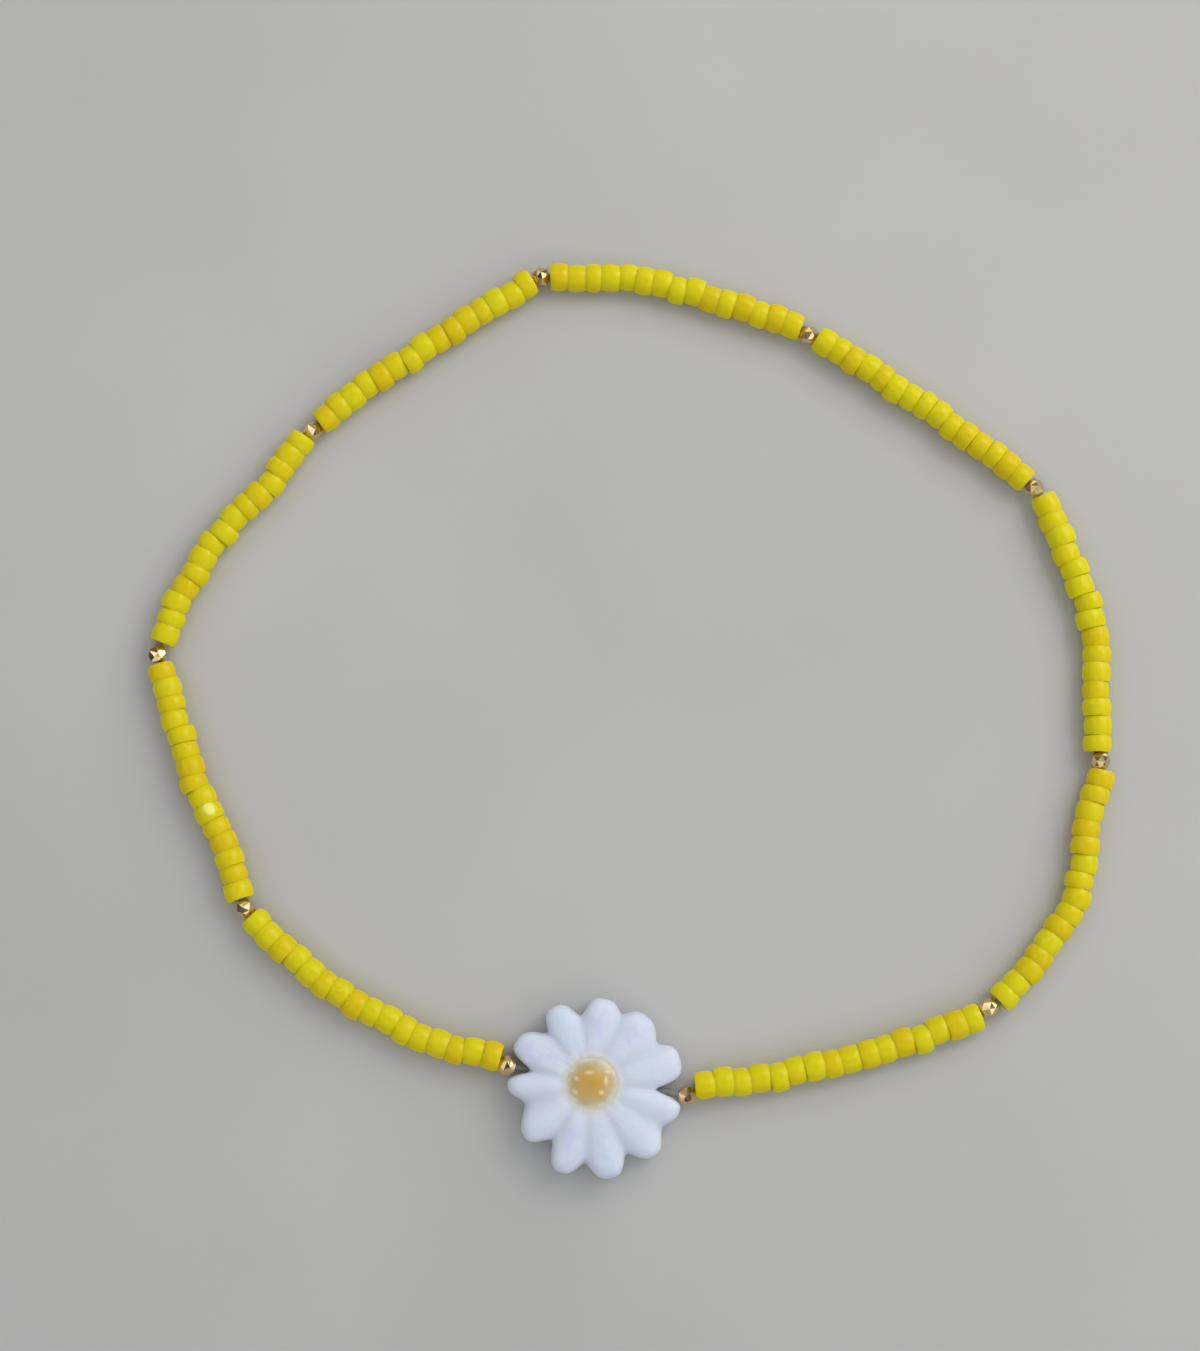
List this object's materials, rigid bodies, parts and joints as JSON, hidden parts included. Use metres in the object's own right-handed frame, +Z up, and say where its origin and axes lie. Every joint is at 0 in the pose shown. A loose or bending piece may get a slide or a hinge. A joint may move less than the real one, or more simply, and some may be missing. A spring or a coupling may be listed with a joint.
{
  "type": "beaded bracelet",
  "caption": "Closed loop of small yellow glass seed beads with tiny faceted gold spacers and a carved white shell daisy, on elastic thread, lying flat.",
  "frame": {"origin": "on the resting surface, under the middle of the bracelet's outline seen from above", "axes": "+Z up from the resting surface; +X along the loop's longest extent; the daisy lies towards -Y with the carved face of its petals up"},
  "size_m": [0.0687, 0.0654, 0.0033],
  "materials": {
    "yellow_glass": "gloss",
    "gold_plate": "polished",
    "white_shell": "gloss",
    "honey_dome": "polished",
    "clear_thread": "satin"
  },
  "bodies": {
    "root": {"seed_run_1a": "yellow_glass", "seed_run_1b": "yellow_glass", "seed_run_2a": "yellow_glass", "seed_run_2b": "yellow_glass", "seed_run_3a": "yellow_glass", "seed_run_3b": "yellow_glass", "seed_run_4a": "yellow_glass", "seed_run_4b": "yellow_glass", "seed_run_5a": "yellow_glass", "seed_run_5b": "yellow_glass", "seed_run_6a": "yellow_glass", "seed_run_6b": "yellow_glass", "seed_run_7a": "yellow_glass", "seed_run_7b": "yellow_glass", "seed_run_8a": "yellow_glass", "seed_run_8b": "yellow_glass", "seed_run_9a": "yellow_glass", "seed_run_9b": "yellow_glass", "spacer_01": "gold_plate", "spacer_02": "gold_plate", "spacer_03": "gold_plate", "spacer_04": "gold_plate", "spacer_05": "gold_plate", "spacer_06": "gold_plate", "spacer_07": "gold_plate", "spacer_08": "gold_plate", "spacer_09": "gold_plate", "spacer_10": "gold_plate", "daisy_petals": "white_shell", "daisy_center": "honey_dome", "daisy_thread": "clear_thread"}
  },
  "joints": []
}
